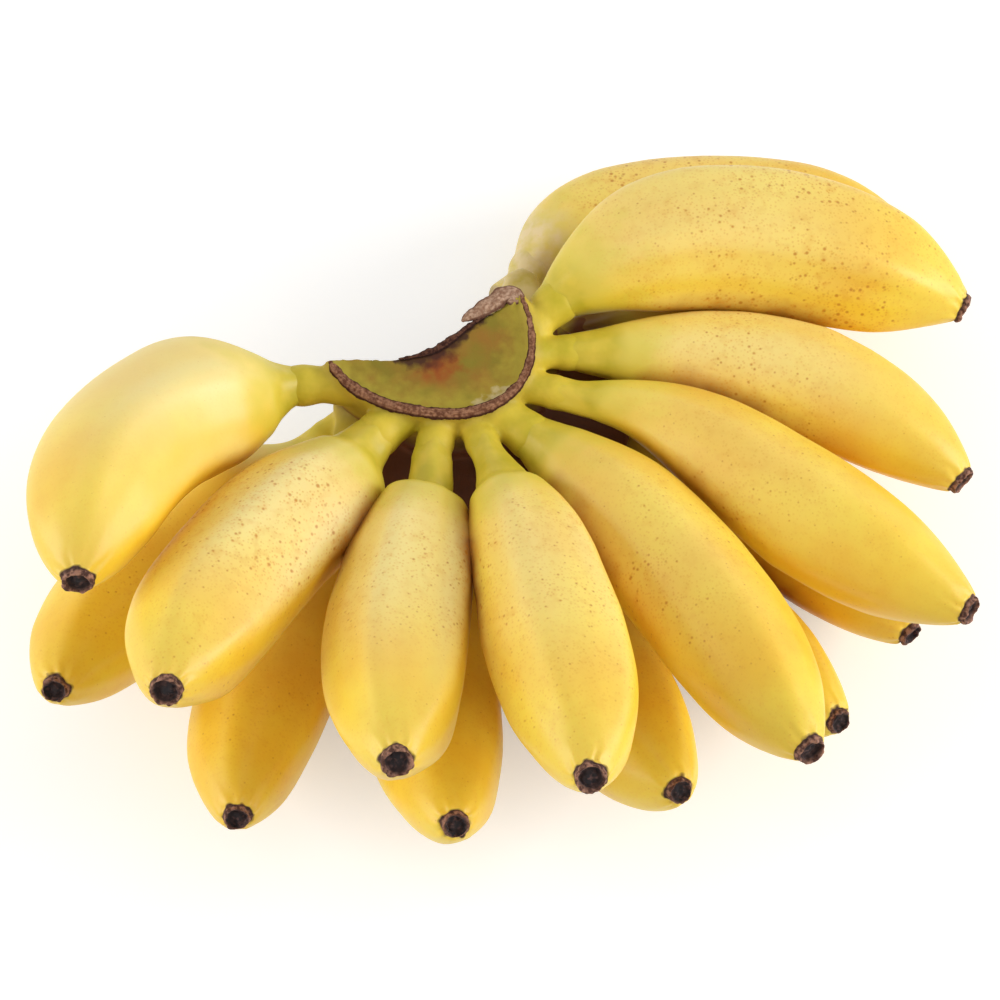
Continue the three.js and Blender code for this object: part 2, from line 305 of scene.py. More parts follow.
# %% Sculpt a finger
def sculpt_finger(piece, reach, radii, habit, seed):
    mesh = piece.data
    points, normals = points_of(mesh), normals_of(mesh)
    along = read(mesh, "along_mm")
    around = read(mesh, "around", 3)
    angle = np.arctan2(around[:, 1], around[:, 0])
    to_tip = reach - along
    stalk = radii[0][1]
    radius = np.interp(along, [s for s, _ in radii], [r for _, r in radii])

    # The fold runs unevenly round the finger. The neck before it is pinched, the body past it swells.
    past_fold = along - habit["fold"] - 0.8 * wander(points, 5, seed + 3)
    neck = 1 - ramp(past_fold, -0.6, 3.5)
    lift = -habit["pinch"] * neck * np.clip(radius - 1.1 * stalk, 0, 4)
    aimed = np.clip(np.cos(angle - math.radians(habit["toward"])), 0, 1)
    swollen = ramp(past_fold, -habit["flare"], 3.0) * (1 - ramp(past_fold, 8, 30))
    lift += habit["bulge"] * swollen * (0.3 + 0.7 * aimed)
    lift -= 0.4 * habit["pinch"] * np.exp(-((past_fold + 0.6) / 0.8) ** 2)
    lift += 0.12 * neck * np.cos(RIDGES * angle + 2 * wander(points, 9, seed + 5))

    # The body gets its corners and some shallow dents.
    body = ramp(past_fold, 0, 20) * ramp(to_tip, 0, 18)
    corner = (0.5 + 0.5 * np.cos(RIDGES * (angle - math.radians(habit["turn"])))) ** 2
    lift += habit["ridge"] * body * (corner - 0.4)
    lift += body * (0.45 * wander(points, 24, seed) + 0.12 * wander(points, 8, seed))

    # Skin puckers round the blossom end, and the dried flower is torn.
    pucker = np.exp(-np.abs(to_tip) / 2.5) * (to_tip > -0.2)
    lift += 0.16 * pucker * np.cos(PUCKERS * angle + 3 * wander(points, 4, seed + 7))
    tear = 0.5 * wander(points, 2.2, seed + 11) + 0.3 * wander(points, 0.9, seed + 13)
    lift += ramp(-to_tip, 0.0, 0.5) * tear
    points += normals * (lift * MM)[:, None]
    points[:, 2] = np.maximum(points[:, 2], 0)
    move(mesh, points)

    write(mesh, "past_fold_mm", past_fold)
    write(mesh, "to_tip_mm", to_tip)
    thickest = np.exp(-((along / reach - habit["spotted"]) / SPOTTED_SPREAD) ** 2)
    write(mesh, "freckles", habit["freckles"] * (0.45 + 0.55 * thickest) * ramp(past_fold, 0, 14))
    # A painted sheen: cream on the side that looks up and along the corners, fading towards the
    # blossom end.
    upward = np.clip(normals_of(mesh)[:, 2], 0, 1)
    sheen_side = ramp(upward + 0.35 * corner * body, 0.15, 1.1)
    write(mesh, "painted_sheen", habit["painted_sheen"] * sheen_side * (0.25 + 0.75 * ramp(to_tip / reach, 0.1, 0.55)))


# %% Make all the fingers
FINE, COARSE = 3, 2             # subdivision levels of the upper and the lower row
fingers = {}
stalks = {}
for number, (name, node) in enumerate(sorted(FINGERS.items())):
    cage, reach, radii, stalks[name] = finger_cage(node)
    levels = FINE if name.startswith("upper") else COARSE
    piece = smooth_piece(cage, name.replace("finger", "banana"), levels)
    sculpt_finger(piece, reach, radii, HABITS.get(name, LOWER_HABIT), seed=10.0 * number)
    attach(piece, "root")
    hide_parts(name)
    fingers[name] = piece
    print(f"{piece.name}: {reach:.0f} mm long, {len(piece.data.polygons)} faces")

# %% [markdown]
# Where two fingers lie close together, shade is painted into the skin: it turns a rusty brown, and
# the freckles crowd. A BVH tree answers how far the nearest point of a mesh is, so each finger is
# asked for its gap to all the others. The inner fingers of the lower row are also stained brown at
# their stalks, partly dried skin and partly painted shade where they lie pressed between the rows.
# The last finger of that row has its neck scuffed to a pale cream.

# %% Find where fingers touch
SHADE_RANGE = 12 * MM
SHADE_FADE = {"upper": 3.0, "lower": 1.5}      # the lower row's painted shade reaches farther from its neighbours
SHADED_NECKS = [f"lower_finger_{number}" for number in range(2, 8)]
NECK_SHADE_DEPTH = 0.85
SCUFFED = "lower_finger_8"


def skin_tree(piece):
    faces = [tuple(face.vertices) for face in piece.data.polygons]
    return BVHTree.FromPolygons([tuple(p) for p in points_of(piece.data)], faces)


skins = {name: skin_tree(piece) for name, piece in fingers.items()}
boxes = {name: (points_of(piece.data).min(axis=0), points_of(piece.data).max(axis=0))
         for name, piece in fingers.items()}
for name, piece in fingers.items():
    points = points_of(piece.data)
    gap = np.full(len(points), SHADE_RANGE)
    for other, tree in skins.items():
        low, high = boxes[other]
        near = np.all((points > low - SHADE_RANGE) & (points < high + SHADE_RANGE), axis=1)
        for k in np.flatnonzero(near) if other != name else ():
            found = tree.find_nearest(points[k], gap[k])[3]
            gap[k] = gap[k] if found is None else min(gap[k], found)
    past_fold = read(piece.data, "past_fold_mm")
    # Painted shade: how close the other fingers are, which the peel turns a rusty brown.
    neighbour_shade = (1 - gap / SHADE_RANGE) ** SHADE_FADE[name[:5]]
    write(piece.data, "neighbour_shade", neighbour_shade * ramp(past_fold, 0, 8))
    # The inner stalks of the lower row turn brown: partly dried skin, partly painted shade between
    # the rows.
    neck_shade = (name in SHADED_NECKS) * (1 - ramp(past_fold, -4, 12))
    write(piece.data, "neck_shade", NECK_SHADE_DEPTH * neck_shade)
    write(piece.data, "scuff", (name == SCUFFED) * (1 - ramp(past_fold, -1, 9)))

# %% [markdown]
# ## The crown
#
# The crown is the fused base of all the stalks. A knife took it off the stem, which left a sunken
# olive face with a lip of dark bark round its outside, and a torn edge towards the stem.
#
# The outline of the cut face is needed several times. It is read from the CAD crown, where the
# face is the largest flat that looks up.

# %% Find the outline of the cut face
def face_outline():
    """The border of the cut face as points in order, and its height."""
    bm = bmesh.new()
    bm.from_mesh(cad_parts["crown"].data)
    bmesh.ops.remove_doubles(bm, verts=bm.verts, dist=WELD)
    bm.normal_update()
    flats = {}
    for face in bm.faces:
        if face.normal.z > 0.999:
            flats.setdefault(round(face.calc_center_median().z / MM, 1), set()).add(face)
    level = max(flats, key=lambda height: sum(face.calc_area() for face in flats[height]))
    border = [edge for edge in bm.edges if len(flats[level].intersection(edge.link_faces)) == 1]
    loop = [border[0].verts[0], border[0].verts[1]]
    while loop[-1] != loop[0]:
        step = [edge for edge in loop[-1].link_edges if edge in border and loop[-2] not in edge.verts]
        loop.append(step[0].other_vert(loop[-1]))
    points = np.array([vert.co for vert in loop[:-1]])
    bm.free()
    return points, level


outline, face_level = face_outline()
print(f"cut face at {face_level} mm, {len(outline)} points round it")


def arc(points, first, last):
    """The points from one index on to another, going round the loop."""
    count = (last - first) % len(points)
    return points[[(first + k) % len(points) for k in range(count + 1)]]


def even_steps(points, step_mm):
    """The same path with a point every step_mm."""
    lengths = np.linalg.norm(np.diff(points, axis=0), axis=1)
    travelled = np.concatenate([[0], np.cumsum(lengths)])
    stops = np.linspace(0, travelled[-1], max(2, round(travelled[-1] / (step_mm * MM))))
    return np.stack([np.interp(stops, travelled, points[:, axis]) for axis in range(3)], axis=1)


left_horn, right_horn = int(outline[:, 0].argmin()), int(outline[:, 1].argmax())
arcs = [arc(outline, left_horn, right_horn), arc(outline, right_horn, left_horn)[::-1]]
arcs.sort(key=lambda points: points[:, 1].mean())
bark_path, stem_path = [even_steps(points, 1.0) for points in arcs]
print(f"bark side {len(bark_path)} mm round, stem side {len(stem_path)} mm")

# %% Shift a path sideways
def shifted(path, out_mm, up_mm):
    """The path moved away from the cut face by out_mm, and up by up_mm."""
    ahead = np.gradient(path, axis=0)
    side = np.stack([ahead[:, 1], -ahead[:, 0], 0 * ahead[:, 0]], axis=1)
    side /= np.linalg.norm(side, axis=1)[:, None]
    lift = np.outer(np.broadcast_to(up_mm, len(path)), (0, 0, MM))
    return path + side * np.reshape(out_mm, (-1, 1)) * MM + lift


# %% [markdown]
# The soft webs between the stalks have no cage of their own, so here a voxel remesh is the better
# tool: it melts overlapping solids into one even skin. A tapered sleeve on each stalk goes into the
# melt, so that crown and finger meet at a shallow angle and no seam shows. So does a membrane
# between the two rows of stalks, partly the web in which the stalks are fused, and partly a brown
# sheet that fills the gaps between them as painted shade.

# %% Melt the crown and the stalk roots together
VOXEL = 0.5 * MM
SLEEVE = [(-4, -0.4), (0, 0.3), (4.5, -0.3)]      # mm along the stalk, and beyond its radius
LONE_STALK = 0.45               # mm more for the stalk that stands free, which relaxing thins most
MELT_ROUNDS = 14                # of relaxing after the remesh
# How far the membrane reaches in mm at each share of the bark side, and its heights in mm at the
# crown and at its edge.
MEMBRANE_REACH = [(0, 0.5), (0.1, 4), (0.25, 26), (0.6, 31), (0.75, 25), (0.9, 16), (1, 8)]
MEMBRANE_TOP = (33.0, 28.0)
MEMBRANE_FOOT = (26.0, 24.0)
MEMBRANE_ROOT = -4              # it starts this many mm inside the bark


def add_membrane(bm):
    """A closed shelf, four points round at each station along the bark side."""
    stops = np.linspace(0, 1, len(bark_path))
    reach = np.interp(stops, *zip(*MEMBRANE_REACH))
    reach *= 1 + 0.08 * wander(bark_path, 6)
    corners = [(MEMBRANE_ROOT, MEMBRANE_TOP[0]), (reach, MEMBRANE_TOP[1]),
               (reach, MEMBRANE_FOOT[1]), (MEMBRANE_ROOT, MEMBRANE_FOOT[0])]
    rows = [shifted(bark_path, out_mm, height - face_level) for out_mm, height in corners]
    rings = [[bm.verts.new(row[k]) for row in rows] for k in range(len(bark_path))]
    for ring, following in zip(rings, rings[1:]):
        for k in range(4):
            bm.faces.new([ring[k], ring[k - 1], following[k - 1], following[k]])
    bm.faces.new(rings[0])
    bm.faces.new(rings[-1][::-1])


def melted_crown():
    bm = bmesh.new()
    bm.from_mesh(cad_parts["crown"].data)
    bmesh.ops.remove_doubles(bm, verts=bm.verts, dist=WELD)
    for name, (middle, heading, radius) in stalks.items():
        radius += LONE_STALK if name == "upper_finger_1" else 0
        aim = heading.to_track_quat("Z", "Y").to_matrix().to_4x4()
        for (start, thick), (end, thin) in zip(SLEEVE, SLEEVE[1:]):
            out = Matrix.Translation(middle + heading * (start + end) / 2 * MM)
            bmesh.ops.create_cone(bm, cap_ends=True, segments=24, depth=(end - start) * MM,
                                  radius1=(radius + thick) * MM, radius2=(radius + thin) * MM,
                                  matrix=out @ aim)
    add_membrane(bm)
    bmesh.ops.recalc_face_normals(bm, faces=bm.faces)
    piece = smooth_piece(bm, "crown_flesh", levels=0)
    melt = piece.modifiers.new("Melt", "REMESH")
    melt.mode = "VOXEL"
    melt.voxel_size = VOXEL
    melt.use_smooth_shade = True
    relax = piece.modifiers.new("Relax", "SMOOTH")
    relax.factor = 0.5
    relax.iterations = MELT_ROUNDS
    apply_modifiers(piece)
    return piece


crown = melted_crown()
print(f"{crown.name}: {len(crown.data.polygons)} faces")

# %% [markdown]
# Bark, torn edge and bark flap are long beads of uneven thickness that follow this outline. One
# function makes them all: a ring of section points is extruded from station to station.

# %% Extrude a section along a path
SECTION_SIDES = 12


def bead(name, path, widths, heights, levels=2):
    """A closed bead along a path, with half its width and half its height in mm at each point."""
    bm = bmesh.new()
    across = bm.verts.layers.float.new("across")
    share = bm.verts.layers.float.new("share")
    ring = bmesh.ops.create_circle(bm, segments=SECTION_SIDES, radius=1)["verts"]
    for vert in ring:
        vert[across] = vert.co.x
    edges = list(bm.edges)
    bmesh.ops.contextual_create(bm, geom=edges)
    stations = []
    for k, point in enumerate(path):
        ahead = Vector(path[min(k + 1, len(path) - 1)] - path[max(k - 1, 0)]).normalized()
        side = ahead.cross(UP).normalized()
        frame_here = Matrix((side * widths[k] * MM, side.cross(ahead) * heights[k] * MM, ahead))
        stations.append(Matrix.Translation(point) @ frame_here.transposed().to_4x4())
    bmesh.ops.transform(bm, matrix=stations[0], verts=ring)
    for k in range(1, len(path)):
        made = bmesh.ops.extrude_edge_only(bm, edges=edges)["geom"]
        ring = [item for item in made if isinstance(item, bmesh.types.BMVert)]
        edges = [item for item in made if isinstance(item, bmesh.types.BMEdge)
                 and set(ring).issuperset(item.verts)]
        bmesh.ops.transform(bm, matrix=stations[k] @ stations[k - 1].inverted(), verts=ring)
        for vert in ring:
            vert[share] = k / (len(path) - 1)
    bmesh.ops.contextual_create(bm, geom=edges)
    bmesh.ops.recalc_face_normals(bm, faces=bm.faces)
    return smooth_piece(bm, name, levels)


def roughen(piece, lumps, seed):
    """Moves each point along its normal by noises of (size in mm, height in mm)."""
    points = points_of(piece.data)
    lift = sum(height * wander(points, size, seed + size) for size, height in lumps)
    move(piece.data, points + normals_of(piece.data) * (lift * MM)[:, None])


# %% Bark lip round the outside of the face
shares = np.linspace(0, 1, len(bark_path))
closing = np.sqrt(np.clip(np.minimum(shares / 0.03, (1 - shares) / 0.03), 0.02, 1))
width = closing * np.interp(shares, [0, 0.15, 0.5, 0.7, 0.85, 1], [1.1, 1.4, 1.45, 1.15, 0.8, 0.65])
bark = bead("bark_lip", shifted(bark_path, 0.75, 0.8), width, closing * 0.85)
roughen(bark, [(3.5, 0.25), (1.3, 0.2), (0.6, 0.16)], seed=3)

# %% Torn edge towards the stem
stem_stops = np.linspace(0, 1, len(stem_path))
torn_path = stem_path[(stem_stops > 0.28) & (stem_stops < 0.78)]
shares = np.linspace(0, 1, len(torn_path))
closing = np.sqrt(np.clip(np.minimum(shares / 0.12, (1 - shares) / 0.2), 0.02, 1))
thick = closing * np.interp(shares, [0, 0.3, 0.5, 0.7, 1], [0.6, 0.65, 0.9, 0.7, 0.45])
torn = bead("torn_edge", shifted(torn_path, -0.1, 0.05), thick, thick)
roughen(torn, [(3.0, 0.3), (1.2, 0.25), (0.5, 0.1)], seed=8)

# %% Flap of bark on the stem side
flap_path = stem_path[stem_stops > 0.64]
shares = np.linspace(0, 1, len(flap_path))
closing = np.sqrt(np.clip(np.minimum(shares / 0.35, (1 - shares) / 0.3), 0.02, 1))
flap = bead("bark_flap", shifted(flap_path, -1.9, 0.2), closing * 2.2, closing * 0.9)
roughen(flap, [(3.0, 0.3), (1.2, 0.2), (0.5, 0.1)], seed=14)

for piece in (bark, torn, flap):
    print(f"{piece.name}: {len(piece.data.polygons)} faces")


# %% [markdown]
# The flesh is then sculpted: fibres on the wall towards the stem, a slightly dished face, and the
# numbers from which its colours are mixed. `face` is the cut face, `wall` the torn side towards the
# stem, the third the painted shade low between the stalks, a brown that is partly dried skin, and
# `scuff` the pale root of the last finger.

# %% Sculpt the flesh
def inside_outline(points):
    """Distance in mm from the border of the cut face in plan, positive inside it."""
    flat = points[:, :2]
    nearest = np.full(len(flat), np.inf)
    crossings = np.zeros(len(flat), int)
    for start, end in zip(outline, np.roll(outline, -1, axis=0)):
        leg = (end - start)[:2]
        t = np.clip((flat - start[:2]) @ leg / (leg @ leg), 0, 1)
        nearest = np.minimum(nearest, np.linalg.norm(flat - start[:2] - t[:, None] * leg, axis=1))
        spans = (start[1] > flat[:, 1]) != (end[1] > flat[:, 1])
        with np.errstate(divide="ignore", invalid="ignore"):
            meets = start[0] + (flat[:, 1] - start[1]) * leg[0] / leg[1]
        crossings += spans & (flat[:, 0] < meets)
    return nearest / MM * np.where(crossings % 2 == 1, 1, -1)


def to_path(points, path):
    """Distance in mm in plan from the nearest point of a path."""
    gaps = [np.linalg.norm(points[:, :2] - stop[:2], axis=1) for stop in path]
    return np.min(gaps, axis=0) / MM


def to_stalks(points, names, root_mm=14):
    """Distance in mm from the middle line of the nearest of these stalks, inside the crown."""
    nearest = np.full(len(points), np.inf)
    for middle, heading, _ in (stalks[name] for name in names):
        away = points - np.array(middle)
        inside = np.clip(away @ np.array(heading), -root_mm * MM, 0)
        gap = np.linalg.norm(away - np.outer(inside, heading), axis=1)
        nearest = np.minimum(nearest, gap / MM)
    return nearest


BURN_SHARE = 0.45               # where along the stem side the knife burned the face
BURN_INSIDE = 2.8               # and how far inside it, in mm
STEM_MIDDLE = np.array([-6, 14]) * MM      # of the lost stem in plan, from the middle of its side
FLAKY = slice(round(0.56 * len(bark_path)), round(0.64 * len(bark_path)))  # bark beside pale flakes
burn_middle = shifted(stem_path, BURN_INSIDE, 0)[round(BURN_SHARE * len(stem_path))]


def sculpt_crown():
    mesh = crown.data
    points, normals = points_of(mesh), normals_of(mesh)
    height = points[:, 2] / MM

    # The wall looks towards the stem. The ledge below the torn edge belongs to it, stalks do not.
    toward = stem_path.mean(axis=0)[:2] + STEM_MIDDLE - points[:, :2]
    toward /= np.linalg.norm(toward, axis=1)[:, None]
    wall = ramp((normals[:, :2] * toward).sum(axis=1), 0.25, 0.7)
    wall *= 1 - ramp(normals[:, 2], 0.5, 0.8)
    ledge = (1 - ramp(to_path(points, stem_path[4:-14]), 3.5, 6)) * (1 - ramp(height, 42, 44))
    wall = np.maximum(wall, ledge) * ramp(to_stalks(points, stalks, 0), 6.5, 9)
    # The face lies inside the outline, looks up, and is level with the top.
    inside = inside_outline(points)
    face = ramp(inside, -0.6, 0.1) * ramp(normals[:, 2], 0.3, 0.6) * ramp(height, 45, 46.5)

    # Torn fibres run upright, so their noise is stretched that way.
    fibres = points * np.array([1, 1, 0.18])
    lift = wall * (0.35 * wander(fibres, 1.3, 4) + 0.3 * wander(points, 4, 5))
    lift += 0.12 * wander(points, 5, 6) + face * 0.1 * wander(points, 1.4, 7)
    lift -= face * 0.35 * ramp(inside, 0, 4)
    move(mesh, points + normals * (lift * MM)[:, None])
    write(mesh, "face", face)
    write(mesh, "wall", wall)
    # Painted shade: the crown turns brown low between the stalks, partly as dried skin. The stalks at
    # both ends of the lower row stay clear of it.
    low_shade = ramp((crown_high.z - points[:, 2]) / MM, 11, 14)
    low_shade *= ramp(to_stalks(points, ["lower_finger_1", SCUFFED]), 11, 15)
    write(mesh, "low_shade", low_shade)
    # The shoulder beside the scuffed stalk is scuffed with it.
    from_last = to_stalks(points, [SCUFFED])
    shoulder = (1 - ramp(from_last, 11, 15)) * ramp(height, 28, 33)
    write(mesh, "scuff", np.maximum(shoulder, 1 - ramp(from_last, 5.5, 8.5)))
    write(mesh, "to_bark_mm", to_path(points, bark_path))
    write(mesh, "to_edge_mm", to_path(points, torn_path))
    write(mesh, "to_burn_mm", to_path(points, [burn_middle]))
    write(mesh, "to_flakes_mm", to_path(points, bark_path[FLAKY]))


sculpt_crown()
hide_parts("crown")
for piece in (crown, bark, torn, flap):
    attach(piece, "root")

# %% [markdown]
# ## Colour
#
# Colours are written as sRGB hex values, as a paint chart gives them, and turned into the linear
# values that the renderer works in.

# %% Colour and node helpers
MIX_FACTOR, MIX_A, MIX_B = 0, 6, 7                # inputs of a Mix node that mixes colours


def srgb(code):
    """A hex colour such as F2CF57 as linear red, green, blue and alpha."""
    parts = [int(code[i:i + 2], 16) / 255 for i in (0, 2, 4)]
    linear = [p / 12.92 if p <= 0.04045 else ((p + 0.055) / 1.055) ** 2.4 for p in parts]
    return (*linear, 1.0)


def add(tree, kind, inputs=None, out=None, **settings):
    """Adds a shader node and returns one of its outputs: the one named, or the first in use.
    Inputs are values or other nodes' outputs, by name or by number."""
    made = tree.nodes.new("ShaderNode" + kind)
    for name, value in settings.items():
        setattr(made, name, value)
    for name, value in (inputs or {}).items():
        if isinstance(value, bpy.types.NodeSocket):
            tree.links.new(value, made.inputs[name])
        else:
            made.inputs[name].default_value = value
    return made.outputs[out] if out else next((o for o in made.outputs if o.enabled), made)


def new_material(name):
    """An empty material and its node tree."""
    material = bpy.data.materials.new(name)
    material.use_nodes = True
    material.node_tree.nodes.clear()
    return material, material.node_tree


def per_mm(size):
    """The Scale that gives a pattern on Object coordinates features of about that many mm."""
    return 1 / (size * MM)


# %% [markdown]
# ## Ripe banana peel
#
# Peel is a leathery skin under a thin natural wax. Ripe, it is a warm yellow that stays green along
# the stalk. A cream sheen is painted on the side that looks up, most of all towards the shoulder,
# so it pales there as a painted highlight and stays golden on its flanks. Sugar spots, brown
# freckles under a millimetre wide, come last. Light goes a little way into it, which keeps its
# shaded side warm instead of grey.

# %% Green of the stalks
SHADE_BROWN = "74452C"                             # painted shade between the two rows, and partly skin that dried there


def stalk_colour(tree, place):
    """The yellow green of the stalks, the same on the fingers and on the crown."""
    clouds = add(tree, "TexNoise", {"Vector": place, "Scale": per_mm(7), "Detail": 3.0})
    clouds = add(tree, "MapRange", {0: clouds, 1: 0.35, 2: 0.65})
    return add(tree, "Mix", {MIX_FACTOR: clouds, MIX_A: srgb("C6B42E"), MIX_B: srgb("E0C642")},
               data_type="RGBA")


def scuffed(tree, place, colour):
    """Pale scratches in the skin where the attribute `scuff` is high."""
    scuff = add(tree, "Attribute", out="Fac", attribute_name="scuff")
    scratches = add(tree, "TexNoise", {"Vector": place, "Scale": per_mm(4), "Detail": 4.0})
    scratches = add(tree, "MapRange", {0: scratches, 1: 0.35, 2: 0.6, 3: 0.3, 4: 0.9})
    scratches = add(tree, "Math", {0: scratches, 1: scuff}, operation="MULTIPLY")
    return add(tree, "Mix", {MIX_FACTOR: scratches, MIX_A: colour, MIX_B: srgb("E6CFA0")},
               data_type="RGBA")


# %% Peel material
def peel_material():
    material, tree = new_material("ripe banana peel")
    place = add(tree, "TexCoord", out="Object")
    past_fold = add(tree, "Attribute", out="Fac", attribute_name="past_fold_mm")
    to_tip = add(tree, "Attribute", out="Fac", attribute_name="to_tip_mm")
    freckled = add(tree, "Attribute", out="Fac", attribute_name="freckles")
    painted_sheen = add(tree, "Attribute", out="Fac", attribute_name="painted_sheen")
    neck_shade = add(tree, "Attribute", out="Fac", attribute_name="neck_shade")
    neighbour_shade = add(tree, "Attribute", out="Fac", attribute_name="neighbour_shade")
    inward = add(tree, "Attribute", out="Fac", attribute_name="inward")

    # Two yellows drift into each other over a couple of centimetres.
    clouds = add(tree, "TexNoise", {"Vector": place, "Scale": per_mm(22), "Detail": 3.0})
    drift = add(tree, "MapRange", {0: clouds, 1: 0.38, 2: 0.64})
    colour = add(tree, "Mix", {MIX_FACTOR: drift, MIX_A: srgb("F8D43A"), MIX_B: srgb("F2C028")},
                 data_type="RGBA")
    # A painted sheen: cream on the side that looks up, most of all along the corners.
    colour = add(tree, "Mix", {MIX_FACTOR: painted_sheen, MIX_A: colour, MIX_B: srgb("FDE9A0")},
                 data_type="RGBA")
    # Green fades out of the stalk over the fold.
    ragged = add(tree, "TexNoise", {"Vector": place, "Scale": per_mm(9), "Detail": 2.0})
    offset = add(tree, "MapRange", {0: ragged, 1: 0.3, 2: 0.7, 3: -5.0, 4: 5.0})
    edge = add(tree, "Math", {0: past_fold, 1: offset}, operation="ADD")
    halo = add(tree, "MapRange", {0: edge, 1: 0.0, 2: 18.0, 3: 0.75, 4: 0.0},
               interpolation_type="SMOOTHSTEP")
    colour = add(tree, "Mix", {MIX_FACTOR: halo, MIX_A: colour, MIX_B: srgb("DCCB49")},
                 data_type="RGBA")
    green = add(tree, "MapRange", {0: past_fold, 1: -1.5, 2: 4.0, 3: 1.0, 4: 0.0},
                interpolation_type="SMOOTHSTEP")
    colour = add(tree, "Mix", {MIX_FACTOR: green, MIX_A: colour,
                               MIX_B: stalk_colour(tree, place)}, data_type="RGBA")
    # Brown on the lower row's inner stalks: partly dried skin, partly painted shade.
    colour = add(tree, "Mix", {MIX_FACTOR: neck_shade, MIX_A: colour, MIX_B: srgb(SHADE_BROWN)},
                 data_type="RGBA")
    colour = scuffed(tree, place, colour)
    # A last tinge of green near the blossom end.
    tinge = add(tree, "MapRange", {0: to_tip, 1: 2.0, 2: 16.0, 3: 0.4, 4: 0.0},
                interpolation_type="SMOOTHSTEP")
    colour = add(tree, "Mix", {MIX_FACTOR: tinge, MIX_A: colour, MIX_B: srgb("E2C444")},
                 data_type="RGBA")

    # Painted shade: a rusty brown where it lies close to its neighbours.
    painted_contact_shade = add(tree, "Math", {0: ragged, 1: neighbour_shade}, operation="MULTIPLY")
    painted_contact_shade = add(tree, "MapRange", {0: painted_contact_shade, 1: 0.12, 2: 0.5, 3: 0.0, 4: 0.8})
    colour = add(tree, "Mix", {MIX_FACTOR: painted_contact_shade, MIX_A: colour, MIX_B: srgb("A35A22")},
                 data_type="RGBA")

    # Sugar spots: the middles of Voronoi cells 2 mm apart, smaller where a slow noise is low.
    spots = add(tree, "TexVoronoi", {"Vector": place, "Scale": per_mm(2), "Randomness": 1.0})
    where = add(tree, "TexNoise", {"Vector": place, "Scale": per_mm(14), "Detail": 2.0})
    where = add(tree, "MapRange", {0: where, 1: 0.3, 2: 0.7, 3: 0.4, 4: 1.2})
    amount = add(tree, "Math", {0: where, 1: freckled}, operation="MULTIPLY")
    amount = add(tree, "Math", {0: painted_contact_shade, 1: 0.6, 2: amount}, operation="MULTIPLY_ADD")
    width = add(tree, "MapRange", {0: amount, 1: 0.1, 2: 1.0, 3: 0.02, 4: 0.24})
    inside = add(tree, "Math", {0: width, 1: spots}, operation="SUBTRACT")
    spot = add(tree, "MapRange", {0: inside, 1: -0.06, 2: 0.1, 3: 0.0, 4: 0.8})
    colour = add(tree, "Mix", {MIX_FACTOR: spot, MIX_A: colour, MIX_B: srgb("C27C1E")},
                 data_type="RGBA")
    # A dusting of finer ones, and a faint orange mottling between them.
    grains = add(tree, "TexVoronoi", {"Vector": place, "Scale": per_mm(0.8), "Randomness": 1.0})
    dust = add(tree, "MapRange", {0: grains, 1: 0.15, 2: 0.4, 3: 0.5, 4: 0.0})
    mottle = add(tree, "TexNoise", {"Vector": place, "Scale": per_mm(2.5), "Detail": 3.0})
    mottle = add(tree, "MapRange", {0: mottle, 1: 0.5, 2: 0.75, 3: 0.0, 4: 0.4})
    dust = add(tree, "Math", {0: dust, 1: mottle}, operation="ADD")
    dust = add(tree, "Math", {0: dust, 1: amount}, operation="MULTIPLY")
    colour = add(tree, "Mix", {MIX_FACTOR: dust, MIX_A: colour, MIX_B: srgb("DC9624")},
                 data_type="RGBA")

    # What is left of the flower: brown torn scales round a black middle.
    crumble = add(tree, "TexNoise", {"Vector": place, "Scale": per_mm(1.1), "Detail": 4.0})
    scales = add(tree, "MapRange", {0: crumble, 1: 0.42, 2: 0.6})
    dried = add(tree, "Mix", {MIX_FACTOR: scales, MIX_A: srgb("4A2C22"), MIX_B: srgb("A0745E")},
                data_type="RGBA")
    soot = add(tree, "MapRange", {0: crumble, 1: 0.5, 2: 0.72})
    soot = add(tree, "Mix", {MIX_FACTOR: soot, MIX_A: srgb("1A1416"), MIX_B: srgb("6A4A44")},
               data_type="RGBA")
    core = add(tree, "Math", {0: crumble, 1: 0.5, 2: inward}, operation="MULTIPLY_ADD")
    core = add(tree, "MapRange", {0: core, 1: 0.56, 2: 0.66})
    dried = add(tree, "Mix", {MIX_FACTOR: core, MIX_A: dried, MIX_B: soot}, data_type="RGBA")
    # Its outline is crisp and dark.
    jag = add(tree, "TexNoise", {"Vector": place, "Scale": per_mm(2.5), "Detail": 1.0})
    jag = add(tree, "MapRange", {0: jag, 1: 0.3, 2: 0.7, 3: -0.25, 4: 0.2})
    rim = add(tree, "Math", {0: to_tip, 1: jag}, operation="ADD")
    border = add(tree, "MapRange", {0: rim, 1: -1.0, 2: -0.5, 3: 0.0, 4: 0.75})
    dried = add(tree, "Mix", {MIX_FACTOR: border, MIX_A: dried, MIX_B: srgb("2E1812")},
                data_type="RGBA")
    blossom = add(tree, "MapRange", {0: rim, 1: -0.35, 2: -0.15, 3: 1.0, 4: 0.0})
    colour = add(tree, "Mix", {MIX_FACTOR: blossom, MIX_A: colour, MIX_B: dried},
                 data_type="RGBA")

    pores = add(tree, "TexNoise", {"Vector": place, "Scale": per_mm(0.9), "Detail": 1.0})
    rough = add(tree, "MapRange", {0: blossom, 3: 0.4, 4: 0.85})
    bump = add(tree, "Bump", {"Strength": 0.12, "Distance": 0.2 * MM, "Height": pores})
    shader = add(tree, "BsdfPrincipled", {
        "Base Color": colour, "Roughness": rough, "Normal": bump, "IOR": 1.45,
        "Subsurface Weight": 0.15, "Subsurface Radius": (1.0, 0.55, 0.15),
        "Subsurface Scale": 2 * MM})
    add(tree, "OutputMaterial", {"Surface": shader})
    return material


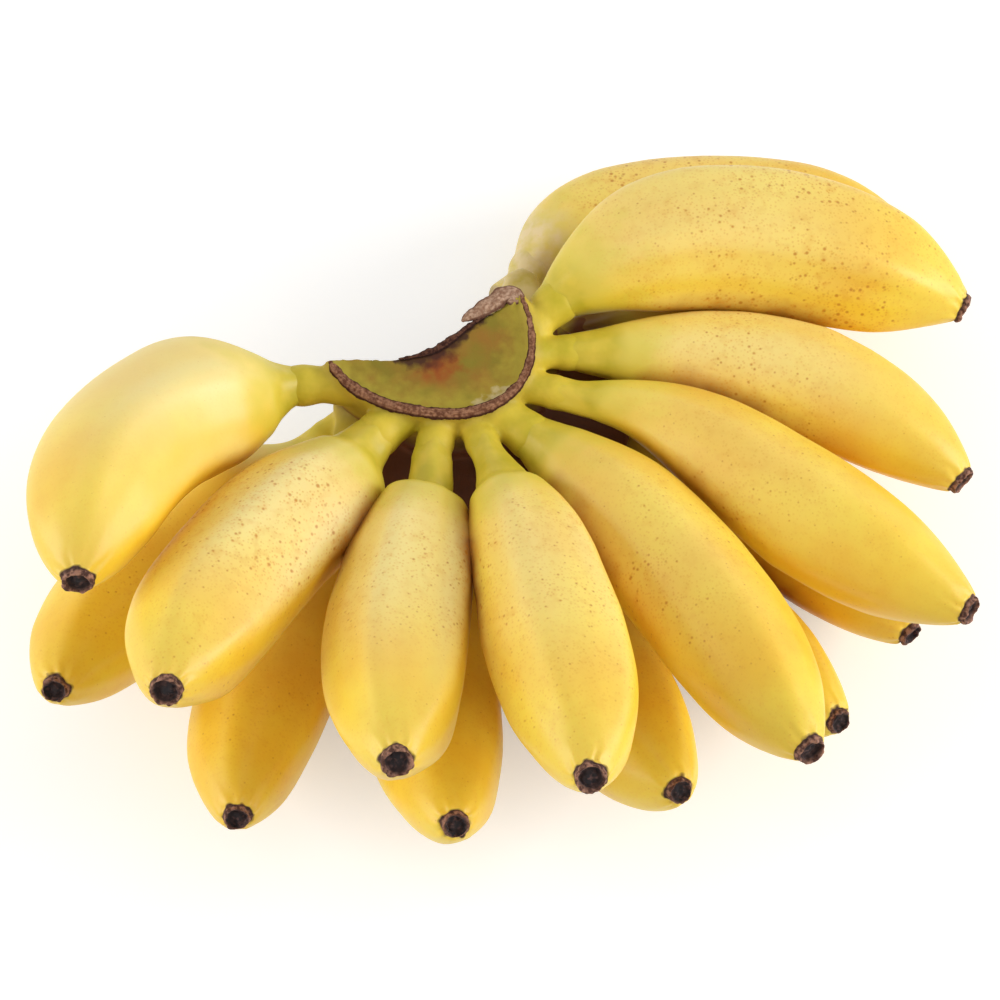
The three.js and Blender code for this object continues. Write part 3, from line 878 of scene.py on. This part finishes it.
peel = peel_material()
for piece in fingers.values():
    piece.data.materials.append(peel)
print("peel nodes:", len(peel.node_tree.nodes))

# %% [markdown]
# ## Crown flesh and bark
#
# The flesh is the same green skin as the stalks, so both take it from one function. The cut face
# is wounded tissue that has oxidised to olive, with pale strands of sap vessels. Where the knife
# tore it, it burned dark. Bark is dead cork: rough, matt, pinkish brown, almost black in its folds.

# %% Crown flesh material
def crown_material():
    material, tree = new_material("cut banana crown")
    place = add(tree, "TexCoord", out="Object")
    face = add(tree, "Attribute", out="Fac", attribute_name="face")
    wall = add(tree, "Attribute", out="Fac", attribute_name="wall")
    low_shade = add(tree, "Attribute", out="Fac", attribute_name="low_shade")
    to_bark = add(tree, "Attribute", out="Fac", attribute_name="to_bark_mm")
    to_edge = add(tree, "Attribute", out="Fac", attribute_name="to_edge_mm")
    to_burn = add(tree, "Attribute", out="Fac", attribute_name="to_burn_mm")
    to_flakes = add(tree, "Attribute", out="Fac", attribute_name="to_flakes_mm")

    skin = stalk_colour(tree, place)
    # The skin browns just under the bark, and turns brown low between the stalks as painted shade and
    # partly dried skin.
    under = add(tree, "MapRange", {0: to_bark, 1: 1.6, 2: 3.6, 3: 0.5, 4: 0.0})
    skin = add(tree, "Mix", {MIX_FACTOR: under, MIX_A: skin, MIX_B: srgb("A58A44")},
               data_type="RGBA")
    skin = add(tree, "Mix", {MIX_FACTOR: low_shade, MIX_A: skin, MIX_B: srgb(SHADE_BROWN)},
               data_type="RGBA")
    # Wall towards the stem: torn fibres, olive to brown.
    strands = add(tree, "Mapping", {"Vector": place, "Scale": (1, 1, 0.15)})
    strands = add(tree, "TexNoise", {"Vector": strands, "Scale": per_mm(1.2), "Detail": 4.0})
    strands = add(tree, "MapRange", {0: strands, 1: 0.35, 2: 0.65})
    torn_wall = add(tree, "Mix", {MIX_FACTOR: strands, MIX_A: srgb("4C3222"), MIX_B: srgb("94803F")},
                    data_type="RGBA")
    colour = add(tree, "Mix", {MIX_FACTOR: wall, MIX_A: skin, MIX_B: torn_wall}, data_type="RGBA")
    colour = scuffed(tree, place, colour)

    # The face: olive with brown clouds, fresher next to the bark.
    clouds = add(tree, "TexNoise", {"Vector": place, "Scale": per_mm(6), "Detail": 4.0})
    clouds = add(tree, "MapRange", {0: clouds, 1: 0.35, 2: 0.65})
    flesh = add(tree, "Mix", {MIX_FACTOR: clouds, MIX_A: srgb("9A7028"), MIX_B: srgb("8A7A24")},
                data_type="RGBA")
    blur = add(tree, "TexNoise", {"Vector": place, "Scale": per_mm(2.5), "Detail": 4.0})
    blur = add(tree, "MapRange", {0: blur, 1: 0.3, 2: 0.7, 3: -2.0, 4: 2.0})
    bark_side = add(tree, "Math", {0: to_bark, 1: blur}, operation="ADD")
    fresh = add(tree, "MapRange", {0: bark_side, 1: 1.0, 2: 7.0, 3: 0.85, 4: 0.0})
    flesh = add(tree, "Mix", {MIX_FACTOR: fresh, MIX_A: flesh, MIX_B: srgb("B3A036")},
                data_type="RGBA")
    # The burn glows rust red in the middle of the stem side, and ends black at the torn edge.
    spot = add(tree, "Math", {0: to_burn, 1: blur}, operation="ADD")
    burn = add(tree, "MapRange", {0: spot, 1: 0.5, 2: 7.0, 3: 0.9, 4: 0.0},
               interpolation_type="SMOOTHSTEP")
    flesh = add(tree, "Mix", {MIX_FACTOR: burn, MIX_A: flesh, MIX_B: srgb("9A4818")},
                data_type="RGBA")
    reach = add(tree, "MapRange", {0: to_burn, 1: 3.0, 2: 10.0, 3: 4.5, 4: 1.3})
    edge = add(tree, "Math", {0: blur, 1: 0.5, 2: to_edge}, operation="MULTIPLY_ADD")
    edge = add(tree, "Math", {0: edge, 1: reach}, operation="DIVIDE")
    black = add(tree, "MapRange", {0: edge, 1: 0.35, 2: 1.0, 3: 0.9, 4: 0.0})
    flesh = add(tree, "Mix", {MIX_FACTOR: black, MIX_A: flesh, MIX_B: srgb("3A1C14")},
                data_type="RGBA")
    # Dry skin lifts off in pale flakes at one place beside the bark.
    flakes = add(tree, "Math", {0: to_flakes, 1: blur}, operation="ADD")
    flakes = add(tree, "MapRange", {0: flakes, 1: 1.2, 2: 2.8, 3: 0.6, 4: 0.0})
    flesh = add(tree, "Mix", {MIX_FACTOR: flakes, MIX_A: flesh, MIX_B: srgb("DCC79A")},
                data_type="RGBA")
    colour = add(tree, "Mix", {MIX_FACTOR: face, MIX_A: colour, MIX_B: flesh}, data_type="RGBA")

    grain = add(tree, "TexNoise", {"Vector": place, "Scale": per_mm(0.8), "Detail": 3.0})
    rough = add(tree, "MapRange", {0: face, 3: 0.5, 4: 0.62})
    bump = add(tree, "Bump", {"Strength": 0.25, "Distance": 0.3 * MM, "Height": grain})
    shader = add(tree, "BsdfPrincipled", {
        "Base Color": colour, "Roughness": rough, "Normal": bump, "IOR": 1.45,
        "Specular IOR Level": 0.3, "Subsurface Weight": 0.1, "Subsurface Radius": (1.0, 0.7, 0.2),
        "Subsurface Scale": 1.5 * MM})
    add(tree, "OutputMaterial", {"Surface": shader})
    return material


# %% Bark material
def bark_material(name, dark, light, line):
    material, tree = new_material(name)
    place = add(tree, "TexCoord", out="Object")
    across = add(tree, "Attribute", out="Fac", attribute_name="across")
    share = add(tree, "Attribute", out="Fac", attribute_name="share")
    flakes = add(tree, "TexNoise", {"Vector": place, "Scale": per_mm(0.8), "Detail": 5.0})
    flakes = add(tree, "MapRange", {0: flakes, 1: 0.38, 2: 0.62})
    colour = add(tree, "Mix", {MIX_FACTOR: flakes, MIX_A: srgb(dark), MIX_B: srgb(light)},
                 data_type="RGBA")
    # Fibres run lengthways.
    fibre_place = add(tree, "CombineXYZ", {"X": across, "Y": share})
    fibres = add(tree, "Mapping", {"Vector": fibre_place, "Scale": (4, 6, 1)})
    fibres = add(tree, "TexNoise", {"Vector": fibres, "Scale": 1.0, "Detail": 3.0})
    fibres = add(tree, "MapRange", {0: fibres, 1: 0.5, 2: 0.62, 3: 0.0, 4: 0.55})
    colour = add(tree, "Mix", {MIX_FACTOR: fibres, MIX_A: colour, MIX_B: srgb(dark)},
                 data_type="RGBA")
    # Two dark lines, one along each edge.
    ridge = add(tree, "Math", {0: across}, operation="ABSOLUTE")
    edges = add(tree, "MapRange", {0: ridge, 1: 0.6, 2: 0.85, 3: 0.0, 4: 0.9})
    colour = add(tree, "Mix", {MIX_FACTOR: edges, MIX_A: colour, MIX_B: srgb(line)},
                 data_type="RGBA")
    height = add(tree, "Math", {0: flakes, 1: fibres}, operation="SUBTRACT")
    bump = add(tree, "Bump", {"Strength": 0.5, "Distance": 0.35 * MM, "Height": height})
    shader = add(tree, "BsdfPrincipled", {"Base Color": colour, "Roughness": 0.9, "Normal": bump,
                                          "Specular IOR Level": 0.2})
    add(tree, "OutputMaterial", {"Surface": shader})
    return material


flesh = crown_material()
cork = bark_material("dried banana bark", "6E4430", "AC7C5E", "3C1C14")
torn_cork = bark_material("torn dark bark", "3C201A", "6E4836", "2C1614")
dry_cork = bark_material("dry loose bark", "967058", "CCA88E", "6A4636")
for piece, material in ((crown, flesh), (bark, cork), (torn, torn_cork), (flap, dry_cork)):
    piece.data.materials.append(material)
print("crown nodes:", len(flesh.node_tree.nodes), "bark nodes:", len(cork.node_tree.nodes))

# %% [markdown]
# ## The table, the light and the camera
#
# A pale table under soft studio light. The camera looks down steeply from the fingertips' side.

# %% Rays that show the background
def shown_background(tree):
    """1 for rays from the camera, seen straight, in a gloss or through glass, and 0 for light."""
    seen = 0.0
    for ray in ("Is Camera Ray", "Is Glossy Ray", "Is Transmission Ray"):
        seen = add(tree, "Math", {0: seen, 1: add(tree, "LightPath", out=ray)}, operation="MAXIMUM")
    return seen


# %% Floor
FLOOR_HALF = 1.5                # metres
FLOOR_GLOW = 0.36               # lifts the table to a plain white, where it is seen
bm = bmesh.new()
bmesh.ops.create_grid(bm, x_segments=1, y_segments=1, size=FLOOR_HALF)
floor = smooth_piece(bm, "floor", levels=0)

material, tree = new_material("white table")
sheen = add(tree, "BsdfPrincipled", {"Base Color": (0.82, 0.82, 0.82, 1), "Roughness": 0.9,
                                     "Specular IOR Level": 0.1})
glow = add(tree, "Emission", {"Color": (1, 1, 1, 1), "Strength": FLOOR_GLOW})
seen = shown_background(tree)
both = add(tree, "AddShader", {0: sheen, 1: glow})
surface = add(tree, "MixShader", {0: seen, 1: sheen, 2: both})
add(tree, "OutputMaterial", {"Surface": surface})
floor.data.materials.append(material)

# %% World
WORLD_LIGHT, WORLD_SEEN = 0.58, 1.0            # its strength as a light, and where it is seen
world = bpy.data.worlds.new("studio")
bpy.context.scene.world = world
world.use_nodes = True
tree = world.node_tree
tree.nodes.clear()
seen = shown_background(tree)
strength = add(tree, "MapRange", {0: seen, 3: WORLD_LIGHT, 4: WORLD_SEEN})
light = add(tree, "Background", {"Color": (1, 1, 1, 1), "Strength": strength})
add(tree, "OutputWorld", {"Surface": light})

# %% Lamps
SOFTBOX_WIDTH = 0.75            # metres


def softbox(name, position, power):
    """A round lamp that faces the bananas, with its place in metres and its power in watts."""
    lamp = bpy.data.lights.new(name, "AREA")
    lamp.shape = "DISK"
    lamp.size = SOFTBOX_WIDTH
    lamp.energy = power
    holder = bpy.data.objects.new(name, lamp)
    holder.location = position
    holder.rotation_euler = (-Vector(position)).to_track_quat("-Z", "Y").to_euler()
    bpy.context.scene.collection.objects.link(holder)


softbox("right softbox", (1.0, 0.0, 0.4), 8.1)
softbox("left softbox", (-1.0, -0.1, 0.4), 6.0)

# %% Camera
CAMERA_TARGET = Vector((-2.03, -5.21, 30.0)) * MM
CAMERA_DISTANCE = 650 * MM
ELEVATION = math.radians(70)
camera = bpy.data.objects.new("camera", bpy.data.cameras.new("camera"))
camera.data.lens = 106.35
back = Vector((0, -math.cos(ELEVATION), math.sin(ELEVATION)))
camera.location = CAMERA_TARGET + back * CAMERA_DISTANCE
camera.rotation_euler = (math.pi / 2 - ELEVATION, 0, 0)
bpy.context.scene.collection.objects.link(camera)
bpy.context.scene.camera = camera
bpy.context.scene.view_settings.view_transform = "Standard"
